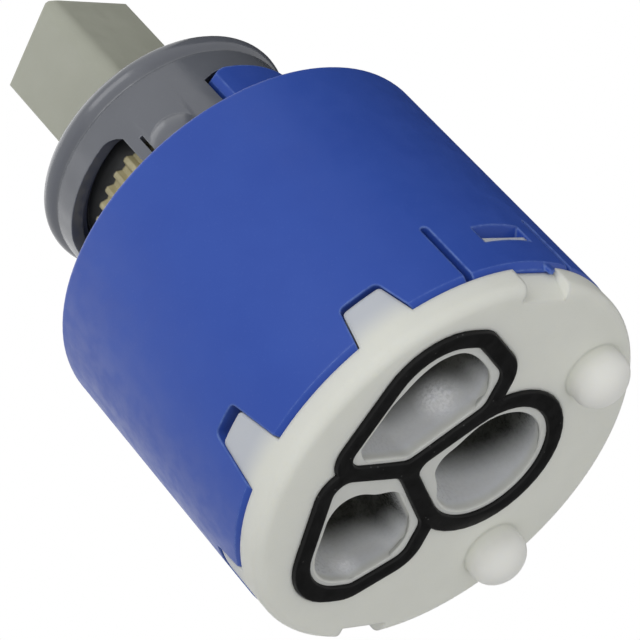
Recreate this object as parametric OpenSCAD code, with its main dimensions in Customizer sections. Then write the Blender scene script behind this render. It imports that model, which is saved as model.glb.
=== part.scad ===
// Single-lever mixer cartridge, 35 mm class.
// Origin at the centre of the base's sealing face, +Z up through the lever.
// The inlets lie toward -Y, the outlet toward +Y, and the lever tilts in the YZ plane.

/* [Housing] */
// Outer diameter of the housing
housing_d = 35; // [34:0.1:36.5]
// Wall of the housing sleeve
housing_wall = 1.4; // [1.1:0.1:1.8]
// Height of the housing's roof above the sealing face
roof_z = 28.05; // [26.5:0.05:31]
// Thickness of the roof
roof_t = 2.5; // [1.8:0.1:3]
// Rounding of the rim around the roof
rim_round = 0.4; // [0.2:0.05:0.8]
// Bevel of the lower edge
foot_bevel = 0.55; // [0.3:0.05:0.7]
// Gap between the toothed neck and the roof's hole
neck_hole_gap = 0.3; // [0.2:0.05:0.5]
// Gap between the collar and the rim of the shallow well that it stands in
well_gap = 0.8; // [0.5:0.1:1.2]
// Depth of the well
well_depth = 0.3; // [0.1:0.05:0.5]
// Gap between the housing's lower edge and the base flange
seam_gap = 0.05; // [0.02:0.01:0.2]

/* [Stop tab] */
// Height of the stop tab above the roof
stop_h = 8.6; // [6:0.1:10]
// Wall of the stop tab
stop_wall = 1.2; // [0.9:0.1:1.4]
// Angle where the stop tab starts
stop_from = -20; // [-30:1:0]
// Angle where the stop tab ends
stop_to = 50; // [20:1:60]
// Radius of the stop tab's upper corners
stop_corner = 1.6; // [0.6:0.1:2.5]

/* [Snap tongues] */
// Angle from the middle of a tongue to the slit on its left
slit_left = 20; // [16:0.5:24]
// Angle from the middle of a tongue to the slit on its right
slit_right = 15; // [13:0.5:20]
// Width of a slit
slit_w = 0.65; // [0.4:0.05:1]
// Height of a slit above the flange
slit_h = 6.25; // [4.5:0.05:7]
// Width of the window in a tongue
window_w = 4.9; // [3.5:0.1:6]
// Height of the window
window_h = 1.1; // [0.8:0.1:1.6]
// Height of the window's lower edge above the flange
window_up = 3.2; // [2.4:0.1:3.8]
// Height of the bevel over the window
window_bevel = 0.8; // [0.4:0.1:1.2]
// How far the base's hook stands out from the spigot
hook_reach = 1.2; // [0.5:0.05:1.3]
// Height of the nib under the tongue's edge
nib_h = 0.45; // [0.2:0.05:0.6]
// Distance from the middle of the tongue to the nib
nib_side = 1.75; // [1.2:0.05:1.8]

/* [Base] */
// Thickness of the base flange
flange_t = 2.25; // [2:0.05:3]
// Step from the housing's outside to the flange's edge
flange_step = 0.08; // [0.04:0.02:0.3]
// Rounding of the flange's lower edge
flange_round = 0.9; // [0.3:0.1:1.4]
// Height of the base from the sealing face to its top
base_h = 7.6; // [7:0.1:9]
// Gap between the base spigot and the housing bore
spigot_gap = 0.12; // [0.05:0.01:0.3]
// Angles of the base tabs that show in the housing's notches
tab_angles = [-45, -90, -135];
// Width of the notches at their foot, one for each tab
notch_w = [5, 4.9, 5];
// Width of the notches at their top, one for each tab
notch_top_w = [3.5, 3.0, 3.5];
// Height of the notches above the flange, one for each tab
notch_h = [3.6, 5.3, 3.6];
// Gap between a tab's side and its notch
tab_gap = 0.12; // [0.05:0.01:0.3]
// Gaps between the tabs' tops and their notches, one for each tab
tab_top_gap = [0.45, 1, 0.45];
// Width of the pry recesses in the flange, under the tongues
pry_w = 4.6; // [4.4:0.1:6]
// Depth of the pry recesses at the sealing face
pry_depth = 1.5; // [1:0.1:1.8]
// Depth of the pry recesses at the flange's top
pry_top = 0.45; // [0.4:0.05:0.8]
// Angles of the two shallow flats on the flange's edge
flat_angles = [73, 152];
// Depth of the flats
flat_depth = 0.35; // [0.1:0.05:0.6]

/* [Locating pegs] */
// Diameter of a peg
peg_d = 5; // [3.5:0.1:5.5]
// Height of a peg below the sealing face
peg_h = 2.95; // [2.2:0.05:3.5]
// Distance from the middle to each peg, across
peg_x = 9; // [8.8:0.1:10]
// Distance from the middle to each peg, toward the outlet
peg_y = 9.9; // [9:0.1:10.6]
// Height of a peg's domed end
peg_dome = 1.9; // [0.5:0.1:2]

/* [Ports] */
// Radius of the outlet's round end
outlet_r = 5.4; // [4.5:0.1:5.8]
// Distance from the middle to the outlet's round end
outlet_y = 3.85; // [3.6:0.05:4.6]
// How far the three ports and their seal sit aside of the middle, toward the right inlet
port_aside = 0.5; // [0:0.05:0.7]
// Width of the black band around each port
band_w = 1.55; // [1.2:0.05:1.9]
// Width of the lip between the band and the port
lip_w = 0.45; // [0.4:0.05:1]
// Rounding of the corners of the ports
mouth_corner = 0.7; // [0.3:0.1:0.9]
// How far the seal stands proud of the sealing face
seal_proud = 0.3; // [0.2:0.05:0.8]
// Rounding of the seal's edges
seal_round = 0.25; // [0.1:0.05:0.45]
// Depth of the seal's groove
groove_depth = 1.2; // [0.8:0.1:1.6]
// Radius of the throat of an inlet
inlet_throat_r = 3; // [2.5:0.1:3]
// Radius of the throat of the outlet
outlet_throat_r = 3.4; // [2.6:0.1:3.8]

/* [Ceramic discs] */
// Diameter of the fixed disc
fixed_disc_d = 27; // [26.5:0.1:28.5]
// Thickness of the fixed disc
fixed_disc_t = 3.2; // [2.6:0.1:3.8]
// Height of the disc seal above the base
disc_seal_proud = 0.4; // [0.2:0.05:0.6]
// Diameter of the moving disc
moving_disc_d = 23; // [22:0.1:23.6]
// Thickness of the moving disc
moving_disc_t = 3.2; // [2.8:0.1:3.6]
// Radius of the mixing chamber in the moving disc
chamber_r = 6.2; // [5.6:0.1:6.8]
// Film gap between the lapped faces
film_gap = 0.02; // [0.01:0.01:0.05]

/* [Carrier] */
// Diameter of the carrier
carrier_d = 25.8; // [25:0.1:26]
// Width of the carrier between its guided sides
carrier_w = 23.8; // [23.4:0.1:24.2]
// Thickness of the carrier
carrier_t = 4.7; // [4:0.1:5.4]
// Thickness of the floor under the lever's socket
socket_floor = 1.3; // [0.8:0.1:1.8]

/* [Rotor] */
// Gap between the rotor and the housing bore
rotor_gap = 0.3; // [0.15:0.05:0.5]
// Gap between the rotor's flange and the carrier
flange_gap = 0.3; // [0.1:0.05:0.5]
// Outer diameter of the toothed neck
neck_d = 19.6; // [19:0.1:20]
// Height of the neck's teeth above the roof
teeth_up = 7.7; // [7.2:0.05:8.6]
// Height of the plain crown above the teeth
crown_h = 2.35; // [1.6:0.05:2.8]
// Number of teeth on the neck
tooth_count = 40; // [24:4:60]
// Depth of the teeth
tooth_depth = 0.6; // [0.3:0.05:0.9]
// Gap between the lever and the sides of its channel
channel_gap = 0.2; // [0.1:0.05:0.4]
// Thickness of the slide ring
slide_ring_t = 0.8; // [0.5:0.1:1.2]

/* [Collar] */
// Outer diameter of the collar's skirt
collar_d = 22.4; // [22:0.1:23]
// Outer diameter of the bead at the collar's top
bead_d = 23.2; // [23:0.1:24.4]
// Height of the bead
bead_h = 1.9; // [1.2:0.1:2.4]
// Height of the collar's top above the roof
collar_top_up = 13.4; // [12.9:0.1:15]
// Gap between the collar and the roof
collar_gap = 0.4; // [0.3:0.05:0.8]
// Gap between the collar's bore and the neck's teeth
collar_fit = 0.3; // [0.2:0.05:0.35]
// Diameter of the opening that the lever passes through
collar_mouth_d = 19; // [18.6:0.1:19.6]
// Thickness of the collar's top lip
collar_lip_t = 3.9; // [3.3:0.1:4]
// Angle where the tooth window starts
tooth_window_from = -130; // [-135:1:-110]
// Angle where the tooth window ends
tooth_window_to = -65; // [-75:0.5:-62]
// Height of the tooth window above the roof
tooth_window_h = 9; // [6:0.1:9.6]
// Radius of the tooth window's upper corners
tooth_window_corner = 1.7; // [0.6:0.1:2.4]
// Angular play between the collar's notch and the stop tab
stop_play = 2.5; // [1:0.5:5]
// Height of the spring tongue's slit above the roof
click_slit_h = 6.7; // [5:0.1:8]
// Width of the spring tongue's slit
click_slit_w = 0.3; // [0.2:0.05:0.6]
// How far the spring tongue's bump stands out
click_bump = 0.55; // [0.2:0.05:0.9]

/* [Lever] */
// Width of the lever's square
lever_w = 8.85; // [8.3:0.05:9]
// Height of the lever's tip above the roof
lever_up = 28.8; // [22:0.1:36]
// Radius of the one rounded edge of the square
lever_round = 1.4; // [0.5:0.1:2]
// Bevel at the lever's tip
lever_bevel = 0.3; // [0.1:0.05:0.6]
// Diameter of the lever's pin
pin_d = 3; // [2.5:0.1:3.5]
// Running gap between the pin and the lever
pin_fit = 0.05; // [0.02:0.01:0.08]
// Height of the pin above the roof
pin_up = 2.5; // [2:0.1:3]
// Height of the square's lower end below the pin
square_below = 4; // [3:0.1:4.5]
// Diameter of the shank below the square
shank_d = 5; // [4:0.1:5.4]
// Diameter of the ball at the lever's lower end
ball_d = 6; // [5.4:0.1:6.6]
// Gap between the ball and its socket
ball_fit = 0.06; // [0.03:0.01:0.1]
// Tilt of the lever to each side
tilt = 12.5; // [10:0.5:13]

/* [Click detent] */
// Diameter of the detent ball
detent_ball_d = 2.5; // [2:0.1:3]
// Wire of the detent spring
detent_wire = 0.4; // [0.3:0.05:0.5]

/* [Turning range] */
// How far the rotor turns from the cold stop
turn = 50; // [40:1:60]

/* [Hidden] */

$fn = 96;
// How far a cut runs past what it cuts
over = 1;

// Small bevels, roundings and fits
notch_corner = 0.5;
spigot_bevel = 0.4;
hook_gap = 0.1;
hook_lip = 0.55;
nib_w = 0.7;
nib_gap = 0.1;
pry_over = 0.3;
flat_roof = 0.3;
groove_fit = 0.03;
key_gap = 0.1;
grip_gap = 0.05;
insert_gap = 0.1;
guide_gap = 0.15;
ball_lift = 0.2;
ring_gap = 0.1;
channel_spare = 0.4;
detent_gap = 0.1;
pin_bevel = 0.2;
pin_inset = 0.4;
collar_bevel = 0.2;
collar_groove = 0.15;
mouth_round = 0.5;
window_corner = 1.4;

housing_r = housing_d / 2;
bore_r = housing_r - housing_wall;
flange_r = housing_r - flange_step;
spigot_r = bore_r - spigot_gap;
roof_under = roof_z - roof_t;
neck_r = neck_d / 2;
neck_hole_r = neck_r + neck_hole_gap;
shell_foot = flange_t + seam_gap;
// How far the bevel at the housing's foot goes in
foot_inset = 0.7 * foot_bevel;

fixed_disc_z = base_h + disc_seal_proud;
moving_disc_z = fixed_disc_z + fixed_disc_t + film_gap;
carrier_z = moving_disc_z + moving_disc_t;
carrier_top = carrier_z + carrier_t;
rotor_z = carrier_top + flange_gap;
rotor_top = roof_under - slide_ring_t - 2 * ring_gap;
rotor_r = bore_r - rotor_gap;
teeth_top = roof_z + teeth_up;
neck_top = teeth_top + crown_h;

pin_z = roof_z + pin_up;
ball_z = carrier_z + socket_floor + ball_lift + ball_d / 2;
arm = pin_z - ball_z;
groove_reach = arm * sin(tilt) + detent_gap;
channel_x = lever_w / 2 + channel_gap;
channel_swing = (neck_top - pin_z) * tan(tilt);
channel_y = lever_w / 2 + channel_swing + channel_spare;

collar_r = collar_d / 2;
bead_r = bead_d / 2;
collar_bore = neck_r + collar_fit;
collar_z = roof_z + collar_gap;
collar_top = roof_z + collar_top_up;
// The stop tab stands a little outside the collar
stop_step = 0.4;
stop_r = collar_r + stop_step;
stop_bore = stop_r - stop_wall;
stop_top_gap = 0.3;
// How much is cut off the stop tab's outer edges
stop_cut = 0.5;
well_r = max(bead_r, stop_r) + well_gap;

// The bosses on the base that hold the fixed disc, and their distance below its upper face
key_r = 1.3;
key_angles = [0, 90, 180];
key_down = 0.6;
// The disc seal's rings around the throats, and the webs that join them
seal_rim = 1;
seal_inset = 0.3;
web_angles = [-45, 90, 225];
web_reach = 6;
// The two grips between the carrier and the moving disc
grip_w = 4;
grip_deep = 1.4;
grip_down = 2.2;
// The pierced plate in the mixing chamber
insert_t = 1.2;
insert_hole_d = 1.5;
insert_pitch = 2.3;
// The ring that seals the mixing chamber
seal_ring_r = chamber_r + 0.5;
seal_ring_w = 1.3;
seal_ring_t = 1;
// The ball and spring, in a pocket of the rotor
detent_x = carrier_w / 2 - 2.7;
detent_seat = 0.25 * detent_ball_d;
detent_z = carrier_top + detent_ball_d / 2 - detent_seat;
spring_pocket = 4;
// The slit beside the collar's spring tongue, and the bump on the tongue
click_slit_at = -59;
click_middle = -48;
click_round = 3.4;
click_down = 1.9;
// The spaces between the neck's teeth that hold one of the collar's splines
spline_spaces = [-22, -17, -16, -5, 14, 15, 16, 19];
spline_top_down = 0.6;
spline_h = 3.6;
spline_foot_w = 0.9;
spline_tip_w = 0.3;
spline_fit = 0.2;

// The outlines of the ports: circles as [x, y, radius], anticlockwise, that a taut loop goes around
inlet_outline = [[1.9, -10.4, 1.15], [7, -5.9, 4.5], [9.95, -4.85, 1.55], [7.95, -1.9, 1.6],
    [6.3, -1.65, 1.35], [2.2, -6, 1.4]];
outlet_outline = [[0, outlet_y, outlet_r], [0, -2.55, 1.05]];
inlet_throat = [[4.9, -7.3, inlet_throat_r], [7.6, -4.3, inlet_throat_r]];
outlet_throat = [[0, 5.2, outlet_throat_r], [0, 3.6, outlet_throat_r - 0.8]];

// Angle brought between 0 and 360
function turned(a) = a - 360 * floor(a / 360);

// Direction that faces out of the taut line from circle a to circle b
function line_normal(a, b) =
    atan2(b.y - a.y, b.x - a.x) - acos((a[2] - b[2]) / norm([b.x - a.x, b.y - a.y]));

// Points of a taut loop around circles, moved outward by grow; a circle of radius 0 is a sharp corner
function loop_points(rounds, grow = 0, step = 9) = [
    for (i = [0:len(rounds) - 1])
        let (n = len(rounds))
        let (here = rounds[i])
        let (r = here[2] + grow)
        let (from = line_normal(rounds[(i + n - 1) % n], here))
        let (sweep = turned(line_normal(here, rounds[(i + 1) % n]) - from))
        let (parts = r > 0 ? max(1, ceil(sweep / step)) : 0)
        for (k = [0:parts])
            let (a = from + sweep * k / max(1, parts))
            [here.x + r * cos(a), here.y + r * sin(a)]
];

// Points of an arc about the origin
function arc_points(r, from, to, parts = 12) =
    [for (k = [0:parts]) let (a = from + (to - from) * k / parts) [r * cos(a), r * sin(a)]];

// Points of a ring of rounded teeth between two radii
function tooth_points(r_in, r_out, count) = [
    for (i = [0:count - 1])
        for (f = [[-0.34, 0], [-0.16, 1], [0, 1.12], [0.16, 1], [0.34, 0]])
            let (r = r_in + (r_out - r_in) * min(f[1], 1.12) / 1.12)
            [r * cos(360 * (i + f[0]) / count), r * sin(360 * (i + f[0]) / count)]
];

module ring(r_out, r_in, z0, z1) {
    translate([0, 0, z0])
        difference() {
            cylinder(r = r_out, h = z1 - z0);
            translate([0, 0, -over]) cylinder(r = r_in, h = z1 - z0 + 2 * over);
        }
}

// A prism over the sector between two angles
module sector(r, from, to, z0, z1) {
    translate([0, 0, z0])
        linear_extrude(z1 - z0)
            polygon(concat([[0, 0]], arc_points(r / cos((to - from) / 24), from, to)));
}

// A flat shape in the wall, drawn across and up, cut or built along the radius at an angle
module on_wall(angle, r_in, r_out) {
    rotate([0, 0, angle])
        translate([r_in, 0, 0])
            rotate([90, 0, 90])
                linear_extrude(r_out - r_in) children();
}

// A trapezoid with its upper corners rounded, foot_w wide at the flange's top and going on below it
module notch_shape(foot_w, top_w, h, corner) {
    foot = foot_w / 2 + over * (foot_w - top_w) / (2 * h);
    polygon(loop_points([
        [-foot, -over, 0],
        [foot, -over, 0],
        [top_w / 2 - corner, h - corner, corner],
        [corner - top_w / 2, h - corner, corner]
    ], 0, 15));
}

// A slot with a round upper end, going on below the flange's top
module slit_shape(w, h) {
    polygon(loop_points([[-w / 2, -over, 0], [w / 2, -over, 0], [0, h - w / 2, w / 2]], 0, 15));
}

// The top of a window or tab between z0 and z1, with its corners rounded. It widens downward, where the
// sector that it is cut with gives the sides.
module arched(across, z0, z1, corner) {
    polygon(loop_points([
        [-2 * across, z0 - over, 0],
        [2 * across, z0 - over, 0],
        [across - corner, z1 - corner, corner],
        [corner - across, z1 - corner, corner]
    ]));
}

// The same circles on the other side of the middle plane, again anticlockwise
function other_side(rounds) = [for (i = [len(rounds) - 1:-1:0]) [-rounds[i].x, rounds[i].y, rounds[i][2]]];

// The same circles at their place in the base
function placed(rounds) = [for (c = rounds) [c.x + port_aside, c.y, c[2]]];

port_loops = [placed(inlet_outline), placed(other_side(inlet_outline)), placed(outlet_outline)];

// The three port outlines together, moved outward by grow
module port_outlines(grow) {
    for (outline = port_loops) polygon(loop_points(outline, grow));
}

// A solid around a loop, grown by levels[i].x at the height levels[i].y, from the lowest level up
module loop_stack(rounds, levels) {
    rings = [for (level = levels) [for (p = loop_points(rounds, level.x)) [p.x, p.y, level.y]]];
    n = len(rings[0]);
    top = len(rings) - 1;
    walls = [
        for (k = [0:top - 1], i = [0:n - 1])
            let (j = (i + 1) % n)
            [k * n + i, (k + 1) * n + i, (k + 1) * n + j, k * n + j]
    ];
    floor = [for (i = [0:n - 1]) i];
    lid = [for (i = [n - 1:-1:0]) top * n + i];
    polyhedron([for (r = rings) each r], concat([floor], walls, [lid]));
}

module throat_outlines(grow) {
    for (outline = [inlet_throat, other_side(inlet_throat), outlet_throat])
        polygon(loop_points(outline, grow));
}

// A funnel from one outline at the sealing face to another at the base's top
module funnel(mouth, throat) {
    hull() {
        translate([0, 0, -over / 4])
            linear_extrude(over / 4)
                offset(r = mouth_corner, $fn = 40)
                    offset(delta = -lip_w - mouth_corner) polygon(loop_points(mouth, 0, 12));
        translate([0, 0, base_h]) linear_extrude(over) polygon(loop_points(throat, 0, 12));
    }
}

module sleeve() {
    rotate_extrude()
        polygon(concat(
            [[bore_r, shell_foot], [housing_r - foot_inset, shell_foot],
                [housing_r, shell_foot + foot_bevel]],
            [for (p = arc_points(rim_round, 0, 90, 4)) p + [housing_r - rim_round, roof_z - rim_round]],
            [[well_r, roof_z], [well_r, roof_z - well_depth], [neck_hole_r, roof_z - well_depth],
                [neck_hole_r, roof_under], [bore_r, roof_under]]));
}

// The stop tab, with its two upper corners rounded and its outer edges cut off
module stop_tab() {
    back = stop_cut / stop_r * 180 / PI;
    cut_r = stop_r - stop_cut;
    intersection() {
        ring(stop_r, stop_bore, roof_z - roof_t / 2, roof_z + stop_h);
        translate([0, 0, roof_z - 2 * over])
            linear_extrude(2 * stop_h)
                polygon(concat(
                    [[0, 0], [cut_r * cos(stop_from), cut_r * sin(stop_from)]],
                    arc_points(stop_r / cos((stop_to - stop_from) / 24), stop_from + back, stop_to - back),
                    [[cut_r * cos(stop_to), cut_r * sin(stop_to)]]));
        on_wall((stop_from + stop_to) / 2, 0, 2 * stop_r)
            arched(stop_r * sin((stop_to - stop_from) / 2), roof_z - roof_t, roof_z + stop_h, stop_corner);
    }
}

// The slits, window and bevel that make one snap tongue
module tongue_cuts() {
    cut_in = bore_r - over;
    cut_out = housing_r + over;
    for (a = [-slit_left, slit_right])
        on_wall(a, cut_in, cut_out)
            translate([0, flange_t]) slit_shape(slit_w, slit_h);
    on_wall(0, cut_in, cut_out)
        translate([-window_w / 2, flange_t + window_up]) square([window_w, window_h]);
    translate([housing_r, 0, flange_t + window_up + window_h])
        rotate([90, 0, 0])
            linear_extrude(window_w, center = true)
                polygon([[-housing_wall, 0], [over, 0], [over, window_bevel], [0, window_bevel]]);
}

// The small nib that hangs from a tongue's edge, in the recess below it
module tongue_nib() {
    on_wall(asin(nib_side / housing_r), flange_r - pry_top + nib_gap, flange_r)
        translate([0, shell_foot])
            polygon([[-nib_w / 2, over / 2], [-nib_w / 2, 0], [-nib_w / 4, -nib_h], [nib_w / 4, -nib_h],
                [nib_w / 2, 0], [nib_w / 2, over / 2]]);
}

module housing() {
    color([0.2, 0.33, 0.63]) {
        difference() {
            sleeve();
            for (i = [0:len(tab_angles) - 1])
                on_wall(tab_angles[i], bore_r - over, housing_r + over)
                    translate([0, flange_t])
                        notch_shape(notch_w[i], notch_top_w[i], notch_h[i], notch_corner);
            tongue_cuts();
            rotate([0, 0, 180]) tongue_cuts();
        }
        stop_tab();
        for (a = [0, 180]) rotate([0, 0, a]) tongue_nib();
    }
}

module base_body() {
    edge = flange_round;
    rotate_extrude()
        polygon(concat(
            [[0, 0]],
            [for (p = arc_points(edge, -90, 0, 6)) p + [flange_r - edge, edge]],
            [[flange_r, flange_t], [spigot_r, flange_t], [spigot_r, base_h - spigot_bevel],
                [spigot_r - spigot_bevel, base_h], [0, base_h]]));
}

module base_tab(i) {
    tab_h = notch_h[i] - tab_top_gap[i];
    slope = (notch_w[i] - notch_top_w[i]) / notch_h[i];
    on_wall(tab_angles[i], spigot_r - over, housing_r)
        translate([0, flange_t])
            notch_shape(notch_w[i] - 2 * tab_gap, notch_w[i] - slope * tab_h - 2 * tab_gap, tab_h,
                notch_corner - tab_gap);
}

module hook() {
    low = window_up + hook_gap;
    high = window_up + window_h - hook_gap;
    translate([spigot_r - over, 0, flange_t])
        rotate([90, 0, 0])
            linear_extrude(window_w - 2 * hook_gap, center = true)
                polygon([[0, low], [over + hook_reach, low], [over + hook_reach, low + hook_lip],
                    [over, high], [0, high]]);
}

module peg() {
    rotate_extrude()
        polygon(concat(
            [for (p = arc_points(1, -90, 0, 10)) [p.x * peg_d / 2, (1 + p.y) * peg_dome - peg_h]],
            [[peg_d / 2, over], [0, over]]));
}

// The bosses that stop the fixed disc from turning
module disc_keys(r, z0, z1) {
    for (a = key_angles)
        rotate([0, 0, a])
            translate([fixed_disc_d / 2, 0, z0]) cylinder(r = r, h = z1 - z0);
}

module base() {
    color([0.8, 0.8, 0.77])
        difference() {
            union() {
                base_body();
                intersection() {
                    for (i = [0:len(tab_angles) - 1]) base_tab(i);
                    cylinder(r = flange_r, h = roof_z);
                }
                hook();
                rotate([0, 0, 180]) hook();
                for (side = [-1, 1]) translate([side * peg_x, peg_y, 0]) peg();
                disc_keys(key_r, base_h - over, fixed_disc_z + fixed_disc_t - key_down);
            }
            translate([0, 0, -over]) linear_extrude(over + groove_depth) band_outline(groove_fit);
            translate([0, 0, base_h - groove_depth])
                linear_extrude(groove_depth + over) disc_seal_outline(groove_fit);
            funnel(port_loops[0], inlet_throat);
            funnel(port_loops[1], other_side(inlet_throat));
            funnel(port_loops[2], outlet_throat);
            for (a = [0, 180])
                rotate([0, 0, a])
                    translate([flange_r, 0, 0])
                        rotate([90, 0, 0])
                            linear_extrude(pry_w, center = true)
                                polygon([[-pry_depth, -over], [over, -over], [over, flange_t + pry_over],
                                    [-pry_top, flange_t + pry_over], [-pry_depth, 0]]);
            for (a = flat_angles)
                rotate([0, 0, a])
                    translate([flange_r - flat_depth, -flange_r, -over])
                        cube([flange_r, 2 * flange_r, over + flange_t - flat_roof]);
        }
}

// The trefoil band around the three ports, widened by fit at each edge
module band_outline(fit) {
    difference() {
        port_outlines(band_w + fit);
        port_outlines(-fit);
    }
}

// The seal fills the base's groove and stands proud of it with rounded edges
module base_seal() {
    arc = [for (t = [90:-30:0]) [seal_round * cos(t), seal_round * (1 - sin(t)) - seal_proud]];
    outside = concat([for (p = arc) [band_w - seal_round + p.x, p.y]], [[band_w, groove_depth]]);
    inside = concat([[seal_round, -seal_proud - over]], [for (p = arc) [seal_round - p.x, p.y]],
        [[0, groove_depth + over]]);
    color([0.1, 0.1, 0.1])
        difference() {
            for (outline = port_loops) loop_stack(outline, outside);
            for (outline = port_loops) loop_stack(outline, inside);
        }
}

// The rings around the three throats and the webs that join them
module disc_seal_outline(fit) {
    difference() {
        union() {
            throat_outlines(seal_inset + seal_rim + fit);
            for (a = web_angles)
                rotate([0, 0, a])
                    translate([0, -seal_rim / 2 - fit]) square([web_reach, seal_rim + 2 * fit]);
        }
        throat_outlines(seal_inset - fit);
    }
}

module disc_seal() {
    color([0.1, 0.1, 0.1])
        translate([0, 0, base_h - groove_depth])
            linear_extrude(groove_depth + disc_seal_proud) disc_seal_outline(0);
}

module fixed_disc() {
    color([0.93, 0.92, 0.88])
        difference() {
            translate([0, 0, fixed_disc_z]) cylinder(d = fixed_disc_d, h = fixed_disc_t);
            translate([0, 0, fixed_disc_z - over]) linear_extrude(fixed_disc_t + 2 * over) throat_outlines(0);
            disc_keys(key_r + key_gap, fixed_disc_z - over, fixed_disc_z + fixed_disc_t + over);
        }
}

module moving_disc() {
    color([0.95, 0.94, 0.9])
        difference() {
            translate([0, 0, moving_disc_z]) cylinder(d = moving_disc_d, h = moving_disc_t);
            translate([0, 0, moving_disc_z - over]) cylinder(r = chamber_r, h = moving_disc_t + 2 * over);
            for (a = [0, 180])
                rotate([0, 0, a])
                    translate([moving_disc_d / 2 - grip_deep, -grip_w / 2, carrier_z - grip_down])
                        cube([2 * grip_deep, grip_w, grip_down + over]);
        }
}

// A pierced plate that quietens the flow in the mixing chamber
module sound_insert() {
    rows = [-3:3];
    color([0.35, 0.5, 0.6])
        difference() {
            translate([0, 0, carrier_z - insert_t]) cylinder(r = chamber_r - insert_gap, h = insert_t);
            for (i = rows, j = rows)
                let (x = insert_pitch * (i + j / 2))
                let (y = insert_pitch * j * sin(60))
                if (norm([x, y]) < chamber_r - insert_hole_d)
                    translate([x, y, carrier_z - insert_t - over])
                        cylinder(d = insert_hole_d, h = insert_t + 2 * over, $fn = 24);
        }
}

module chamber_seal() {
    color([0.1, 0.1, 0.1]) ring(seal_ring_r + seal_ring_w, seal_ring_r, carrier_z, carrier_z + seal_ring_t);
}

module disc_carrier() {
    color([0.75, 0.75, 0.72])
        difference() {
            union() {
                intersection() {
                    translate([0, 0, carrier_z]) cylinder(d = carrier_d, h = carrier_t);
                    translate([-carrier_w / 2, -carrier_d, carrier_z])
                        cube([carrier_w, 2 * carrier_d, carrier_t]);
                }
                for (a = [0, 180])
                    rotate([0, 0, a])
                        translate([moving_disc_d / 2 - grip_deep + grip_gap, grip_gap - grip_w / 2,
                            carrier_z - grip_down + grip_gap])
                            cube([grip_deep - 2 * grip_gap, grip_w - 2 * grip_gap, grip_down]);
            }
            translate([0, 0, carrier_z + socket_floor]) cylinder(d = ball_d + 2 * ball_fit, h = carrier_t);
            ring(seal_ring_r + seal_ring_w + groove_fit, seal_ring_r - groove_fit, carrier_z - over,
                carrier_z + seal_ring_t);
            translate([detent_x, 0, detent_z]) {
                rotate([90, 0, 0])
                    cylinder(d = detent_ball_d + detent_gap, h = 2 * groove_reach, center = true);
                for (side = [-1, 1])
                    translate([0, side * groove_reach, 0]) sphere(d = detent_ball_d + detent_gap);
            }
        }
}

module rotor() {
    guide_x = carrier_w / 2 + guide_gap;
    foot_z = carrier_z + flange_gap;
    color([0.86, 0.84, 0.74])
        difference() {
            union() {
                translate([0, 0, rotor_z]) cylinder(r = rotor_r, h = rotor_top - rotor_z);
                difference() {
                    translate([0, 0, foot_z]) cylinder(r = rotor_r, h = rotor_z - foot_z + over);
                    translate([-guide_x, -2 * rotor_r, foot_z - over])
                        cube([2 * guide_x, 4 * rotor_r, rotor_z - foot_z + over]);
                }
                translate([0, 0, rotor_z])
                    cylinder(r = neck_r - tooth_depth, h = neck_top - rotor_z);
                translate([0, 0, roof_z + collar_gap])
                    linear_extrude(teeth_top - roof_z - collar_gap)
                        polygon(tooth_points(neck_r - tooth_depth, neck_r, tooth_count));
                translate([0, 0, rotor_z]) cylinder(r = neck_r, h = roof_z + collar_gap - rotor_z);
            }
            translate([-channel_x, -channel_y, rotor_z - over])
                cube([2 * channel_x, 2 * channel_y, neck_top - rotor_z + 2 * over]);
            translate([0, 0, pin_z])
                rotate([0, 90, 0]) cylinder(d = pin_d, h = 2 * neck_r + 2 * over, center = true);
            translate([detent_x, 0, rotor_z - over])
                cylinder(d = detent_ball_d + 2 * detent_gap, h = over + spring_pocket);
        }
}

module slide_ring() {
    color([0.95, 0.95, 0.95])
        ring(rotor_r, neck_hole_r + ring_gap, rotor_top + ring_gap, rotor_top + ring_gap + slide_ring_t);
}

// The lever's square, with one edge rounded more than the others
module lever_square() {
    half = lever_w / 2;
    edge = lever_bevel;
    polygon(loop_points([
        [half - lever_round, lever_round - half, lever_round],
        [half - edge, half - edge, edge],
        [edge - half, half - edge, edge],
        [edge - half, edge - half, edge]
    ], 0, 10));
}

module lever() {
    tip = roof_z + lever_up;
    foot = pin_z - square_below;
    color([0.64, 0.65, 0.58])
        difference() {
            union() {
                translate([0, 0, foot]) linear_extrude(tip - foot) lever_square();
                translate([0, 0, ball_z]) cylinder(d = shank_d, h = foot - ball_z + over);
                translate([0, 0, ball_z]) sphere(d = ball_d);
            }
            translate([0, 0, pin_z])
                rotate([0, 90, 0]) cylinder(d = pin_d + 2 * pin_fit, h = 2 * lever_w, center = true);
            for (a = [0:90:270])
                rotate([0, 0, a])
                    translate([lever_w / 2, 0, tip])
                        rotate([0, 45, 0])
                            cube([lever_bevel * sqrt(2), 2 * lever_w, lever_bevel * sqrt(2)], center = true);
        }
}

module lever_pin() {
    pin_r = pin_d / 2;
    half = neck_r - tooth_depth - pin_inset;
    color([0.75, 0.75, 0.77])
        translate([0, 0, pin_z])
            rotate([0, 90, 0])
                rotate_extrude()
                    polygon([[0, -half], [pin_r - pin_bevel, -half], [pin_r, pin_bevel - half],
                        [pin_r, half - pin_bevel], [pin_r - pin_bevel, half], [0, half]]);
}

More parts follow.
